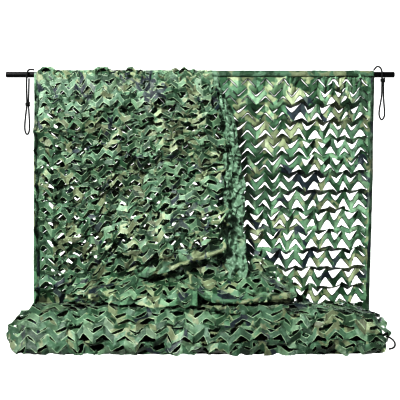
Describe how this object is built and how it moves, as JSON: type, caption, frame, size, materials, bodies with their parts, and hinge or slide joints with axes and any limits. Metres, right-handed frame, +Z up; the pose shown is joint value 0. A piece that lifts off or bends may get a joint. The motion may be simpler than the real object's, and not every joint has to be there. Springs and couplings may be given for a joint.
{
  "type": "camouflage net hung over a rod",
  "caption": "Die-cut woodland camouflage net hung over a round rod, folded deep in front on one half, its lower end flaked into a pile on the floor.",
  "frame": {"origin": "centre of the footprint at floor level", "axes": "+X along the rod, to the viewer's right; -Y towards the viewer, the side the pile lies on; +Z up"},
  "size_m": [1.736, 0.4045, 1.1885],
  "materials": {
    "rod_black": "satin black",
    "net_cloth": "coated woven cloth, woodland print",
    "cord_black": "braided cord, matt"
  },
  "bodies": {
    "root": {"rod": "rod_black", "net": "net_cloth", "tie_left": "cord_black", "tie_right": "cord_black", "tie_floor": "cord_black"}
  },
  "joints": []
}
